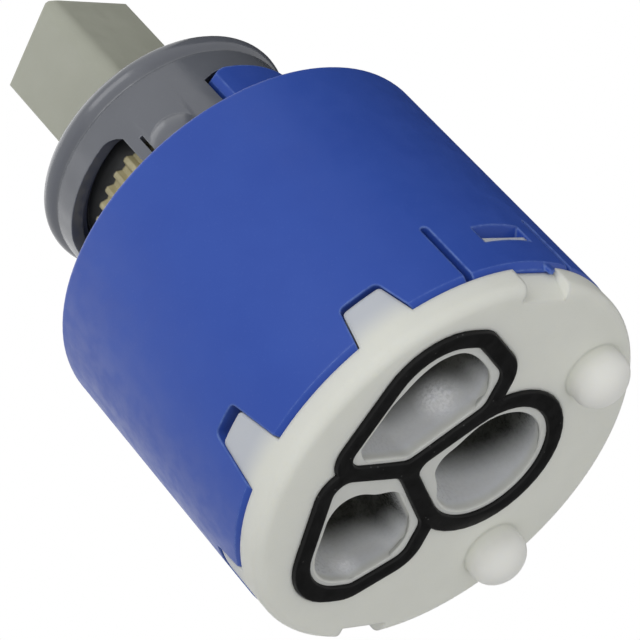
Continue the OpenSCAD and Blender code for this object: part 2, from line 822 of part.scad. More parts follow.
module collar_shell() {
    bead_z = collar_top - bead_h;
    bead_w = bead_r - collar_r + mouth_round;
    mouth_r = collar_mouth_d / 2;
    groove_r = collar_r - collar_groove;
    rotate_extrude()
        polygon(concat(
            [[collar_bore, collar_z], [collar_r - collar_bevel, collar_z],
                [collar_r, collar_z + collar_bevel], [collar_r, bead_z - 2 * collar_groove],
                [groove_r, bead_z - collar_groove], [groove_r, bead_z]],
            [for (a = [-60:15:90]) [bead_r - bead_w * (1 - cos(a)), bead_z + bead_h * (1 + sin(a)) / 2]],
            [for (p = arc_points(mouth_round, 90, 180, 4))
                p + [mouth_r + mouth_round, collar_top - mouth_round]],
            [[mouth_r, collar_top - collar_lip_t], [collar_bore, collar_top - collar_lip_t]]));
}

// A window through the skirt from its lower edge, with rounded upper corners
module skirt_window(from, to, h, corner) {
    intersection() {
        sector(2 * bead_r, from, to, collar_z - over, roof_z + 2 * h);
        on_wall((from + to) / 2, 0, 2 * bead_r)
            arched(collar_r * sin((to - from) / 2), collar_z, roof_z + h, corner);
    }
}

// Short splines that drop between the neck's teeth
module collar_splines() {
    pitch = 360 / tooth_count;
    foot = collar_bore + spline_fit;
    tip = neck_r - tooth_depth + spline_fit;
    for (i = spline_spaces)
        rotate([0, 0, pitch * (i + 0.5)])
            translate([0, 0, teeth_top - spline_top_down - spline_h])
                linear_extrude(spline_h)
                    polygon([[foot, -spline_foot_w / 2], [foot, spline_foot_w / 2],
                        [tip, spline_tip_w / 2], [tip, -spline_tip_w / 2]]);
}

// The smooth bump on the spring tongue
module click_bulge() {
    rotate([0, 0, click_middle])
        intersection() {
            translate([collar_r + click_bump - click_round, 0, roof_z + click_slit_h - click_down])
                sphere(r = click_round);
            ring(2 * bead_r, (collar_bore + collar_r) / 2, collar_z + collar_bevel, collar_top - bead_h);
        }
}

module collar() {
    notch_from = stop_from - stop_play;
    notch_to = stop_to + turn + stop_play;
    color([0.47, 0.49, 0.51])
        difference() {
            union() {
                collar_shell();
                collar_splines();
                click_bulge();
            }
            skirt_window(tooth_window_from, tooth_window_to, tooth_window_h, tooth_window_corner);
            skirt_window(notch_from, notch_to, stop_h + stop_top_gap, window_corner);
            on_wall(click_slit_at, collar_bore - over, bead_r)
                translate([-click_slit_w / 2, collar_z - over])
                    square([click_slit_w, roof_z + click_slit_h - collar_z + over]);
        }
}

module detent_ball() {
    color([0.8, 0.8, 0.82]) translate([detent_x, 0, detent_z]) sphere(d = detent_ball_d);
}

// A round wire wound about the Z axis, its ends at z0 and z1
module coil(r, wire, z0, z1, turns) {
    steps = turns * 20;
    sides = 8;
    points = [
        for (i = [0:steps], k = [0:sides - 1])
            let (a = 360 * turns * i / steps)
            let (b = 360 * k / sides)
            let (reach = r + wire / 2 * cos(b))
            [reach * cos(a), reach * sin(a), z0 + (z1 - z0) * i / steps + wire / 2 * sin(b)]
    ];
    walls = [
        for (i = [0:steps - 1], k = [0:sides - 1])
            let (n = (k + 1) % sides)
            [i * sides + k, i * sides + n, (i + 1) * sides + n, (i + 1) * sides + k]
    ];
    first = [for (k = [sides - 1:-1:0]) k];
    last = [for (k = [0:sides - 1]) steps * sides + k];
    polyhedron(points, concat([first], walls, [last]));
}

module detent_spring() {
    bottom = detent_z + detent_ball_d / 2 + detent_wire / 2;
    top = rotor_z + spring_pocket - detent_wire / 2 - film_gap;
    color([0.8, 0.8, 0.82])
        translate([detent_x, 0, 0]) coil(detent_ball_d / 2 - detent_wire, detent_wire, bottom, top, 4);
}

housing();
base();
base_seal();
disc_seal();
fixed_disc();
moving_disc();
sound_insert();
chamber_seal();
disc_carrier();
rotor();
slide_ring();
lever();
lever_pin();
collar();
detent_spring();
detent_ball();
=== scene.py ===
"""Looks of a 35 mm single-lever mixer cartridge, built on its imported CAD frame.

Everything is in metres, in the frame of the CAD model: the origin is at the centre of the base's
sealing face, +Z goes up through the lever, and the outlet and the two pegs lie toward +Y.
"""

import logging
import math
import random
from dataclasses import dataclass, field
from enum import Enum

import bmesh
import bpy
from mathutils import Matrix, Vector


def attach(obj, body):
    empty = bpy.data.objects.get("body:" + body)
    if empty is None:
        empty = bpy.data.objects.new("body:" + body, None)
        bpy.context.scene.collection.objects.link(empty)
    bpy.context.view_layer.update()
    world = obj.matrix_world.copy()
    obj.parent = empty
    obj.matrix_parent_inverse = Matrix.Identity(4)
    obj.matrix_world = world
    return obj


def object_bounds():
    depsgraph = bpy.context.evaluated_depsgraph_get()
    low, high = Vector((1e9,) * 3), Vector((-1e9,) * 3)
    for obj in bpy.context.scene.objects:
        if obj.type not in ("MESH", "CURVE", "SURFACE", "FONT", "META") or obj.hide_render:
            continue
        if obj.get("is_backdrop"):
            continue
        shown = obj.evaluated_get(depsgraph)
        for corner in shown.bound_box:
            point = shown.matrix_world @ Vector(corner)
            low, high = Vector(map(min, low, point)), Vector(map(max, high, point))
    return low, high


MM = 0.001
LOG = logging.getLogger("cartridge")

Colour = tuple[float, float, float]
Point = tuple[float, float, float]
Span = tuple[float, float]

NOISE_SPAN: Span = (0.3, 0.7)
GLOW_REACH: Colour = (1.0, 0.95, 0.8)
NODE_GAP = 180
BEVEL_SAMPLES = 6
WELD_DISTANCE = 0.002 * MM
SHARP_ANGLE = 28


class Body(Enum):
    """The bodies that the scene's own pieces ride on."""

    FIXED = "cartridge_body"
    COLLAR = "stop_collar"


class Slot(Enum):
    """Material slots for the scene's own pieces; nothing in this script gives a piece a slot."""

    BASE = "base"
    COLLAR = "collar"


class Step(Enum):
    """Operations of the Math node that the finishes use."""

    ADD = "ADD"
    SUBTRACT = "SUBTRACT"
    MULTIPLY = "MULTIPLY"
    POWER = "POWER"


class Aim(Enum):
    """Operations of the Vector Math node that the finishes use."""

    DOT = "DOT_PRODUCT"
    DISTANCE = "DISTANCE"
    MULTIPLY_ADD = "MULTIPLY_ADD"
    NORMALIZE = "NORMALIZE"


def linear(red: int, green: int, blue: int) -> Colour:
    """Turns a colour as seen on a screen into the linear colour that a shader takes.

    Args:
        red: Red from 0 to 255.
        green: Green from 0 to 255.
        blue: Blue from 0 to 255.

    Returns:
        The linear colour.
    """
    def curve(value: int) -> float:
        """Undoes the screen's curve for one channel."""
        share = value / 255
        return share / 12.92 if share <= 0.04045 else ((share + 0.055) / 1.055) ** 2.4

    return curve(red), curve(green), curve(blue)


class ShaderSheet:
    """One material's shader nodes, laid out from left to right."""

    def __init__(self, name: str) -> None:
        """Starts an empty material.

        Args:
            name: The material's name.
        """
        self.material = bpy.data.materials.new(name)
        self.material.use_nodes = True
        self.tree = self.material.node_tree
        self.tree.nodes.clear()
        self.place = self.add("ShaderNodeTexCoord").outputs["Object"]

    def add(self, kind: str, **options: object) -> bpy.types.Node:
        """Adds a node and sets its options.

        Args:
            kind: The node's type name.
            options: Properties of the node, by name.

        Returns:
            The new node.
        """
        node = self.tree.nodes.new(kind)
        node.location = (NODE_GAP * len(self.tree.nodes), 0)
        for option, value in options.items():
            setattr(node, option, value)
        return node

    def feed(self, socket: bpy.types.NodeSocket, value: object) -> None:
        """Links an output to a socket, or sets the socket to a plain value.

        Args:
            socket: The input socket.
            value: An output socket, a number or a colour.
        """
        if isinstance(value, bpy.types.NodeSocket):
            self.tree.links.new(value, socket)
        elif isinstance(value, tuple) and len(value) == 3 and socket.type == "RGBA":
            socket.default_value = (*value, 1.0)
        else:
            socket.default_value = value

    def math(self, step: Step, first: object, second: object = 0.0) -> bpy.types.NodeSocket:
        """Does sums on two values.

        Args:
            step: The operation.
            first: The first number or output.
            second: The second number or output.

        Returns:
            The result.
        """
        node = self.add("ShaderNodeMath", operation=step.value)
        self.feed(node.inputs[0], first)
        self.feed(node.inputs[1], second)
        return node.outputs[0]

    def aim(self, step: Aim, *values: object) -> bpy.types.Node:
        """Does sums on vectors.

        Args:
            step: The operation.
            values: The vectors or outputs.

        Returns:
            The node.
        """
        node = self.add("ShaderNodeVectorMath", operation=step.value)
        for socket, value in zip(node.inputs, values):
            self.feed(socket, value)
        return node

    def span(self, value: object, low: float, high: float, to_low: float = 0.0,
             to_high: float = 1.0) -> bpy.types.NodeSocket:
        """Maps a value smoothly from one span to another.

        Args:
            value: The number or output to map.
            low: Where the span starts.
            high: Where the span ends.
            to_low: What the start becomes.
            to_high: What the end becomes.

        Returns:
            The mapped value.
        """
        node = self.add("ShaderNodeMapRange", interpolation_type="SMOOTHSTEP")
        for socket, number in zip(node.inputs[:5], (value, low, high, to_low, to_high)):
            self.feed(socket, number)
        return node.outputs[0]

    def noise(self, size: float, detail: float = 3.0, roughness: float = 0.55,
              stretch: Point = (1.0, 1.0, 1.0)) -> bpy.types.NodeSocket:
        """Makes smooth random variation with features about as large as size.

        Args:
            size: The size of the features in metres.
            detail: How many finer layers are added.
            roughness: How strong the finer layers are.
            stretch: How much each axis is squeezed.

        Returns:
            A value about 0.5.
        """
        mapping = self.add("ShaderNodeMapping")
        mapping.inputs["Scale"].default_value = stretch
        self.feed(mapping.inputs["Vector"], self.place)
        node = self.add("ShaderNodeTexNoise")
        self.feed(node.inputs["Vector"], mapping.outputs[0])
        node.inputs["Scale"].default_value = 1 / size
        node.inputs["Detail"].default_value = detail
        node.inputs["Roughness"].default_value = roughness
        return node.outputs["Fac"]

    def specks(self, size: float, share: float) -> bpy.types.NodeSocket:
        """Makes small scattered specks.

        Args:
            size: The mean distance between specks in metres.
            share: How much of that distance a speck takes.

        Returns:
            A mask that is 1 in the specks.
        """
        node = self.add("ShaderNodeTexVoronoi")
        self.feed(node.inputs["Vector"], self.place)
        node.inputs["Scale"].default_value = 1 / size
        return self.span(node.outputs["Distance"], share, share * 0.5)

    def blend(self, share: object, first: object, second: object) -> bpy.types.NodeSocket:
        """Mixes two colours.

        Args:
            share: How much of the second colour shows.
            first: The first colour or output.
            second: The second colour or output.

        Returns:
            The mixed colour.
        """
        node = self.add("ShaderNodeMix", data_type="RGBA")
        self.feed(node.inputs[0], share)
        self.feed(node.inputs[6], first)
        self.feed(node.inputs[7], second)
        return node.outputs[2]

    def heights(self) -> tuple[bpy.types.NodeSocket, bpy.types.NodeSocket]:
        """Splits the place into the radius from the axis and the height.

        Returns:
            The radius and the height, in metres.
        """
        split = self.add("ShaderNodeSeparateXYZ")
        self.feed(split.inputs[0], self.place)
        across = self.math(Step.POWER, split.outputs[0], 2.0)
        along = self.math(Step.POWER, split.outputs[1], 2.0)
        radius = self.math(Step.POWER, self.math(Step.ADD, across, along), 0.5)
        return radius, split.outputs[2]

    def near(self, centre: Point, radius: float) -> bpy.types.NodeSocket:
        """Makes a soft round patch that is 1 at its centre and 0 at its radius."""
        away = self.aim(Aim.DISTANCE, self.place, centre).outputs["Value"]
        return self.span(away, radius, 0.0)

    def edges(self, radius: float,
              bend: Span = (0.995, 0.75)) -> tuple[bpy.types.NodeSocket, bpy.types.NodeSocket]:
        """Rounds the shading at edges and finds them.

        Args:
            radius: How far the rounding reaches, in metres.
            bend: Cosines of the bends at which the mask starts and is full.

        Returns:
            The rounded normal and a mask that is 1 at edges.
        """
        bevel = self.add("ShaderNodeBevel", samples=BEVEL_SAMPLES)
        bevel.inputs["Radius"].default_value = radius
        face = self.add("ShaderNodeNewGeometry")
        dot = self.aim(Aim.DOT, bevel.outputs[0], face.outputs["Normal"])
        return bevel.outputs[0], self.span(dot.outputs["Value"], *bend)

    def bump(self, height: object, depth: float, normal: object) -> bpy.types.NodeSocket:
        """Raises the surface by a height field.

        Args:
            height: The height from 0 to 1.
            depth: What a height of 1 is, in metres.
            normal: The normal that it starts from.

        Returns:
            The new normal.
        """
        node = self.add("ShaderNodeBump")
        node.inputs["Strength"].default_value = 1.0
        node.inputs["Distance"].default_value = depth
        self.feed(node.inputs["Height"], height)
        self.feed(node.inputs["Normal"], normal)
        return node.outputs[0]

    def surface(self, **values: object) -> bpy.types.Material:
        """Adds the surface shader and the output.

        Args:
            values: What its sockets get, by their names with _ for a space.

        Returns:
            The finished material.
        """
        shader = self.add("ShaderNodeBsdfPrincipled")
        for name, value in values.items():
            self.feed(shader.inputs[name.replace("_", " ")], value)
        output = self.add("ShaderNodeOutputMaterial")
        self.tree.links.new(shader.outputs[0], output.inputs[0])
        return self.material


@dataclass(frozen=True)
class MouldedPlastic:
    """A moulded plastic: broad flow marks, a fine grain, faint specks, and edges lightened partly as wear and
    partly as painted highlight.
    """

    name: str
    colour: Colour
    flow_tint: Colour
    flow_size: float = 6 * MM
    flow_span: Span = (0.35, 0.7)
    flow_share: float = 0.35
    grain_size: float = 0.18 * MM
    grain_depth: float = 0.004 * MM
    gloss: Span = (0.34, 0.46)
    specular: float = 0.5
    glow: float = 0.0
    glow_depth: float = 1.2 * MM
    edge_radius: float = 0.18 * MM
    edge_bend: Span = (0.995, 0.75)
    edge_tint: Colour = (1.0, 1.0, 1.0)
    edge_share: float = 0.12
    speck_tint: Colour = (0.5, 0.5, 0.5)
    speck_share: float = 0.06
    speck_spacing: float = 0.5 * MM
    speck_size: float = 0.22
    edge_break_size: float = 0.7 * MM
    edge_break_span: Span = (0.35, 0.65)
    edge_break_least: float = 0.35
    handling_size: float = 1.6 * MM
    wave_size: float = 2.4 * MM
    wave_depth: float = 0.012 * MM

    def base_colour(self, sheet: ShaderSheet, edge: bpy.types.NodeSocket) -> bpy.types.NodeSocket:
        """Lays the flow marks, specks and lightened edges over the colour; the edge lightening is partly wear
        and partly painted highlight.

        Args:
            sheet: The material's nodes.
            edge: The mask of the edges.

        Returns:
            The colour.
        """
        flow = sheet.span(sheet.noise(self.flow_size, 4.0), *self.flow_span, 0.0, self.flow_share)
        tone = sheet.blend(flow, self.colour, self.flow_tint)
        specks = sheet.specks(self.speck_spacing, self.speck_size)
        tone = sheet.blend(sheet.math(Step.MULTIPLY, specks, self.speck_share), tone, self.speck_tint)
        # Edge lightening: partly wear, partly painted highlight along the edges, broken up by noise.
        edge_break = sheet.span(sheet.noise(self.edge_break_size), *self.edge_break_span, self.edge_break_least, 1.0)
        wear_and_highlight = sheet.math(Step.MULTIPLY, sheet.math(Step.MULTIPLY, edge, edge_break), self.edge_share)
        return sheet.blend(wear_and_highlight, tone, self.edge_tint)

    def roughness(self, sheet: ShaderSheet) -> bpy.types.NodeSocket:
        """Varies the gloss with the handling marks."""
        return sheet.span(sheet.noise(self.handling_size, 5.0), *NOISE_SPAN, *self.gloss)

    def relief(self, sheet: ShaderSheet, normal: bpy.types.NodeSocket) -> bpy.types.NodeSocket:
        """Gives the skin its fine grain and slow waviness."""
        fine = sheet.bump(sheet.noise(self.grain_size, 2.0), self.grain_depth, normal)
        return sheet.bump(sheet.noise(self.wave_size, 1.0), self.wave_depth, fine)

    def make(self) -> bpy.types.Material:
        """Builds the material.

        Returns:
            The finished material.
        """
        sheet = ShaderSheet(self.name)
        normal, edge = sheet.edges(self.edge_radius, self.edge_bend)
        return sheet.surface(
            Base_Color=self.base_colour(sheet, edge),
            Roughness=self.roughness(sheet),
            Normal=self.relief(sheet, normal),
            Specular_IOR_Level=self.specular,
            Subsurface_Weight=self.glow,
            Subsurface_Radius=GLOW_REACH,
            Subsurface_Scale=self.glow_depth,
        )


@dataclass(frozen=True)
class PortedAcetal(MouldedPlastic):
    """Natural acetal whose port walls are smoother and wet-looking, with painted shade deep in the ports,
    patches of painted highlight on their walls, and painted light on the pegs and tabs.
    """

    # Port walls run from wall_tint at the mouth to painted shade deep in the ports (deep_shade_tint).
    wall_tint: Colour = (0.93, 0.95, 0.97)
    deep_shade_tint: Colour = (0.022, 0.023, 0.02)
    deep: Span = (0.5 * MM, 4.4 * MM)
    deep_lean: Point = (-2.2 * MM, -0.6 * MM, 0.0)
    deep_blur: float = 1.4 * MM
    wall_gloss: float = 0.2
    wall_gloss_size: float = 0.3 * MM
    wall_reach: float = 14.5 * MM
    wall_fade: float = 0.4 * MM
    wall_grain: float = 0.2 * MM
    grit_roughness: float = 0.7
    wall_grain_depth: float = 0.006 * MM
    rim_size: float = 1.2 * MM
    rim_depth: float = 0.3 * MM
    rim_fade: float = 0.8 * MM
    cloud_size: float = 3 * MM
    cloud_least: float = 0.9
    # Painted light: the pegs' whiter tint, and the tabs' bluish tint thrown back from the housing.
    peg_light_tint: Colour = (0.86, 0.86, 0.82)
    peg_from: Span = (-0.1 * MM, -1.2 * MM)
    tab_bounce_tint: Colour = linear(197, 201, 208)
    tab_from: Span = (16.7 * MM, 17.0 * MM)
    tab_foot: Span = (1.9 * MM, 4.4 * MM)
    # Patches of painted highlight on the port walls, as centre and radius.
    highlight_patches: tuple[tuple[Point, float], ...] = (
        ((5.0 * MM, -2.4 * MM, 2.4 * MM), 2.3 * MM),
        ((-10.1 * MM, -4.4 * MM, 1.3 * MM), 1.6 * MM),
    )
    highlight_tint: Colour = (0.97, 0.98, 1.0)
    highlight_tilt: float = 0.9
    highlight_shine: float = 0.8
    highlight_grain_size: float = 0.22 * MM
    highlight_grain_span: Span = (0.38, 0.6)
    highlight_grain_least: float = 0.5

    def wall(self, sheet: ShaderSheet) -> bpy.types.NodeSocket:
        """Finds the walls of the ports, above the sealing face and within its reach.

        Args:
            sheet: The material's nodes.

        Returns:
            A mask that is 1 on the walls.
        """
        radius, height = sheet.heights()
        inside = sheet.span(radius, self.wall_reach, self.wall_reach - self.wall_fade)
        ragged = sheet.math(Step.MULTIPLY, sheet.noise(self.rim_size), self.rim_depth)
        above = sheet.span(sheet.math(Step.SUBTRACT, height, ragged), 0.0, self.rim_fade)
        return sheet.math(Step.MULTIPLY, inside, above)

    def inside(self, sheet: ShaderSheet) -> bpy.types.NodeSocket:
        """Paints shade into the ports: darker with depth, and sooner on the walls that turn away from the
        light.

        Args:
            sheet: The material's nodes.

        Returns:
            The walls' colour.
        """
        height = sheet.heights()[1]
        blurred = sheet.edges(self.deep_blur)[0]
        lean = sheet.aim(Aim.DOT, blurred, self.deep_lean).outputs["Value"]
        depth = sheet.span(sheet.math(Step.ADD, height, lean), *self.deep)
        return sheet.blend(depth, self.wall_tint, self.deep_shade_tint)

    def highlighted(self, sheet: ShaderSheet) -> bpy.types.NodeSocket:
        """Finds the grainy patches of painted highlight on the port walls.

        Args:
            sheet: The material's nodes.

        Returns:
            A mask that is near 1 in the patches.
        """
        patches = 0.0
        for centre, radius in self.highlight_patches:
            patches = sheet.math(Step.ADD, patches, sheet.near(centre, radius))
        grit = sheet.noise(self.highlight_grain_size, 3.0, self.grit_roughness)
        grainy = sheet.span(grit, *self.highlight_grain_span, self.highlight_grain_least, 1.0)
        return sheet.math(Step.MULTIPLY, patches, grainy)

    def skin(self, sheet: ShaderSheet, edge: bpy.types.NodeSocket) -> bpy.types.NodeSocket:
        """Lays painted light over the plain face: the pegs painted whiter, and the tabs painted bluish as light
        thrown back from the blue housing.

        Args:
            sheet: The material's nodes.
            edge: The mask of the edges.

        Returns:
            The colour.
        """
        radius, height = sheet.heights()
        peg = sheet.span(height, *self.peg_from)
        tone = sheet.blend(peg, self.base_colour(sheet, edge), self.peg_light_tint)
        tab = sheet.math(Step.MULTIPLY, sheet.span(radius, *self.tab_from),
                         sheet.span(height, *self.tab_foot))
        return sheet.blend(tab, tone, self.tab_bounce_tint)

    def make(self) -> bpy.types.Material:
        """Builds the material.

        Returns:
            The finished material.
        """
        sheet = ShaderSheet(self.name)
        normal, edge = sheet.edges(self.edge_radius, self.edge_bend)
        wall = self.wall(sheet)
        highlighted = self.highlighted(sheet)
        grit = sheet.noise(self.wall_grain, 3.0, self.grit_roughness)
        grain = sheet.math(Step.MULTIPLY, grit, wall)
        relief = sheet.bump(grain, self.wall_grain_depth, self.relief(sheet, normal))
        # The painted highlight patches: a pale tint, a normal tilted out of the port and more shine.
        tilted = sheet.aim(Aim.MULTIPLY_ADD, highlighted, (0.0, 0.0, -self.highlight_tilt), relief)
        cloudy = sheet.span(sheet.noise(self.cloud_size, 3.0), *NOISE_SPAN, self.cloud_least, 1.0)
        inside = sheet.blend(highlighted, self.inside(sheet), self.highlight_tint)
        tone = sheet.blend(sheet.math(Step.MULTIPLY, wall, cloudy), self.skin(sheet, edge), inside)
        shine = sheet.add("ShaderNodeMix")
        sheet.feed(shine.inputs[0], wall)
        sheet.feed(shine.inputs[2], self.roughness(sheet))
        wet = sheet.span(sheet.noise(self.wall_gloss_size), *NOISE_SPAN, self.wall_gloss,
                         2 * self.wall_gloss)
        sheet.feed(shine.inputs[3], wet)
        glint = sheet.math(Step.MULTIPLY, highlighted, self.highlight_shine)
        return sheet.surface(
            Base_Color=tone,
            Roughness=shine.outputs[0],
            Normal=sheet.aim(Aim.NORMALIZE, tilted.outputs[0]).outputs[0],
            Specular_IOR_Level=sheet.math(Step.ADD, glint, self.specular),
            Subsurface_Weight=self.glow,
            Subsurface_Radius=GLOW_REACH,
            Subsurface_Scale=self.glow_depth,
        )


@dataclass(frozen=True)
class CrownedNylon(MouldedPlastic):
    """Cream nylon whose plain crown, above the teeth, is darkened with painted shade."""

    crown_shade_tint: Colour = (0.035, 0.036, 0.036)
    crown_shade_from: Span = (35.7 * MM, 35.9 * MM)
    crown_from: Span = (8.6 * MM, 8.8 * MM)
    ragged_size: float = 0.8 * MM
    ragged_depth: float = 0.3 * MM

    def base_colour(self, sheet: ShaderSheet, edge: bpy.types.NodeSocket) -> bpy.types.NodeSocket:
        """Paints shade over the crown's side, above the teeth.

        Args:
            sheet: The material's nodes.
            edge: The mask of the edges.

        Returns:
            The colour.
        """
        radius, height = sheet.heights()
        ragged = sheet.math(Step.MULTIPLY, sheet.noise(self.ragged_size), self.ragged_depth)
        above = sheet.span(sheet.math(Step.ADD, height, ragged), *self.crown_shade_from)
        shaded = sheet.math(Step.MULTIPLY, above, sheet.span(radius, *self.crown_from))
        return sheet.blend(shaded, super().base_colour(sheet, edge), self.crown_shade_tint)


@dataclass(frozen=True)
class SealRubber:
    """Black moulded elastomer with a dull skin and a few pale dust specks."""

    name: str = "seal_rubber"
    colour: Colour = (0.009, 0.009, 0.009)
    patch_tint: Colour = (0.012, 0.012, 0.013)
    patch_size: float = 1.5 * MM
    patch_span: Span = (0.4, 0.75)
    patch_share: float = 0.3
    dust: Colour = (0.12, 0.12, 0.12)
    dust_spacing: float = 0.9 * MM
    dust_size: float = 0.09
    dust_share: float = 0.6
    gloss: Span = (0.3, 0.5)
    gloss_size: float = 0.8 * MM
    specular: float = 0.1
    grain_size: float = 0.3 * MM
    grain_depth: float = 0.003 * MM
    edge_radius: float = 0.15 * MM

    def make(self) -> bpy.types.Material:
        """Builds the material.

        Returns:
            The finished material.
        """
        sheet = ShaderSheet(self.name)
        normal = sheet.edges(self.edge_radius)[0]
        patches = sheet.span(sheet.noise(self.patch_size, 4.0), *self.patch_span, 0.0,
                             self.patch_share)
        tone = sheet.blend(patches, self.colour, self.patch_tint)
        specks = sheet.specks(self.dust_spacing, self.dust_size)
        tone = sheet.blend(sheet.math(Step.MULTIPLY, specks, self.dust_share), tone, self.dust)
        return sheet.surface(
            Base_Color=tone,
            Roughness=sheet.span(sheet.noise(self.gloss_size, 4.0), *NOISE_SPAN, *self.gloss),
            Normal=sheet.bump(sheet.noise(self.grain_size, 2.0), self.grain_depth, normal),
            Specular_IOR_Level=self.specular,
        )


@dataclass(frozen=True)
class LappedCeramic:
    """Alumina, lapped flat: pale, hard and shiny with fine random lapping marks and dark pores."""

    name: str
    colour: Colour
    gloss: Span = (0.1, 0.24)
    cloud_size: float = 4 * MM
    cloud_span: Span = (0.35, 0.7)
    cloud_share: float = 0.3
    cloud_shade: float = 0.86
    pore_tint: Colour = (0.3, 0.28, 0.26)
    pore_spacing: float = 0.35 * MM
    pore_size: float = 0.12
    pore_share: float = 0.35
    mark_size: float = 0.06 * MM
    mark_roughness: float = 0.6
    mark_stretch: Point = (1.0, 6.0, 1.0)
    mark_depth: float = 0.0015 * MM
    glow: float = 0.1
    glow_depth: float = 0.5 * MM
    edge_radius: float = 0.12 * MM

    def make(self) -> bpy.types.Material:
        """Builds the material.

        Returns:
            The finished material.
        """
        sheet = ShaderSheet(self.name)
        normal = sheet.edges(self.edge_radius)[0]
        clouds = sheet.span(sheet.noise(self.cloud_size, 4.0), *self.cloud_span, 0.0,
                            self.cloud_share)
        tone = sheet.blend(clouds, self.colour, tuple(c * self.cloud_shade for c in self.colour))
        pores = sheet.specks(self.pore_spacing, self.pore_size)
        tone = sheet.blend(sheet.math(Step.MULTIPLY, pores, self.pore_share), tone, self.pore_tint)
        marks = sheet.noise(self.mark_size, 2.0, self.mark_roughness, self.mark_stretch)
        return sheet.surface(
            Base_Color=tone,
            Roughness=sheet.span(marks, *NOISE_SPAN, *self.gloss),
            Normal=sheet.bump(marks, self.mark_depth, normal),
            Subsurface_Weight=self.glow,
            Subsurface_Scale=self.glow_depth,
        )


@dataclass(frozen=True)
class GroundSteel:
    """Stainless steel, ground or drawn, with fine marks along it and a few dull patches."""

    name: str = "ground_steel"
    colour: Colour = (0.56, 0.57, 0.58)
    gloss: Span = (0.2, 0.38)
    dull_tint: Colour = (0.36, 0.36, 0.37)
    dull_size: float = 1.2 * MM
    dull_span: Span = (0.45, 0.7)
    dull_share: float = 0.4
    mark_size: float = 0.08 * MM
    mark_roughness: float = 0.6
    mark_stretch: Point = (0.15, 1.0, 1.0)
    mark_depth: float = 0.002 * MM
    edge_radius: float = 0.08 * MM

    def make(self) -> bpy.types.Material:
        """Builds the material.

        Returns:
            The finished material.
        """
        sheet = ShaderSheet(self.name)
        normal = sheet.edges(self.edge_radius)[0]
        marks = sheet.noise(self.mark_size, 3.0, self.mark_roughness, self.mark_stretch)
        dull = sheet.span(sheet.noise(self.dull_size, 4.0), *self.dull_span, 0.0, self.dull_share)
        return sheet.surface(
            Base_Color=sheet.blend(dull, self.colour, self.dull_tint),
            Roughness=sheet.span(marks, *NOISE_SPAN, *self.gloss),
            Normal=sheet.bump(marks, self.mark_depth, normal),
            Metallic=1.0,
        )


def node_object(name: str) -> bpy.types.Object:
    """Gives the CAD node's object."""
    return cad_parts[name]


def smooth_group() -> bpy.types.NodeTree:
    """Makes the geometry nodes that shade a part smoothly, with its sharp edges kept.

    Returns:
        The node group.
    """
    name = "smooth_by_edge"
    if name in bpy.data.node_groups:
        return bpy.data.node_groups[name]
    group = bpy.data.node_groups.new(name, "GeometryNodeTree")
    group.interface.new_socket("Geometry", in_out="INPUT", socket_type="NodeSocketGeometry")
    group.interface.new_socket("Geometry", in_out="OUTPUT", socket_type="NodeSocketGeometry")
    nodes, links = group.nodes, group.links
    start, end = nodes.new("NodeGroupInput"), nodes.new("NodeGroupOutput")
    merge = nodes.new("GeometryNodeMergeByDistance")
    merge.inputs["Distance"].default_value = WELD_DISTANCE
    angle = nodes.new("GeometryNodeInputMeshEdgeAngle")
    sharp = nodes.new("FunctionNodeCompare")
    sharp.data_type, sharp.operation = "FLOAT", "GREATER_THAN"
    sharp.inputs[1].default_value = math.radians(SHARP_ANGLE)
    normals = nodes.new("GeometryNodeSetMeshNormal")
    normals.mode = "SHARPNESS"
    links.new(start.outputs[0], merge.inputs["Geometry"])
    links.new(merge.outputs[0], normals.inputs["Mesh"])
    links.new(angle.outputs["Unsigned Angle"], sharp.inputs[0])
    links.new(sharp.outputs[0], normals.inputs["Edge Sharpness"])
    normals.inputs["Remove Custom"].default_value = True
    links.new(normals.outputs[0], end.inputs[0])
    return group


def shade_smoothly(obj: bpy.types.Object) -> None:
    """Shades a part smoothly across its small facets.

    Args:
        obj: The part.
    """
    obj.modifiers.new("smooth", "NODES").node_group = smooth_group()


def dress(name: str, material: bpy.types.Material) -> None:
    """Gives a CAD node its material and smooth shading.

    Args:
        name: The node.
        material: The material.
    """
    obj = node_object(name)
    obj.data.materials.clear()
    obj.data.materials.append(material)
    shade_smoothly(obj)


def new_piece(name: str, mesh: bmesh.types.BMesh, material: bpy.types.Material, body: Body) -> bpy.types.Object:
    """Turns a built mesh into a piece that rides on a body.

    Args:
        name: The piece's name.
        mesh: Its mesh, which is used up.
        material: Its material.
        body: The body that it moves with.

    Returns:
        The new object.
    """
    data = bpy.data.meshes.new(name)
    mesh.to_mesh(data)
    mesh.free()
    data.materials.append(material)
    obj = bpy.data.objects.new(name, data)
    bpy.context.scene.collection.objects.link(obj)
    shade_smoothly(obj)
    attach(obj, body.value)
    return obj


def ring_mesh(lines: list[list[Point]]) -> bmesh.types.BMesh:
    """Joins closed cross-sections that follow each other around a ring.

    Args:
        lines: The points of each cross-section, in metres.

    Returns:
        The closed mesh.
    """
    mesh = bmesh.new()
    rings = [[mesh.verts.new(point) for point in line] for line in lines]
    for here, there in zip(rings, rings[1:] + rings[:1]):
        for k in range(len(here)):
            after = (k + 1) % len(here)
            mesh.faces.new((here[k], here[after], there[after], there[k]))
    bmesh.ops.recalc_face_normals(mesh, faces=mesh.faces)
    return mesh


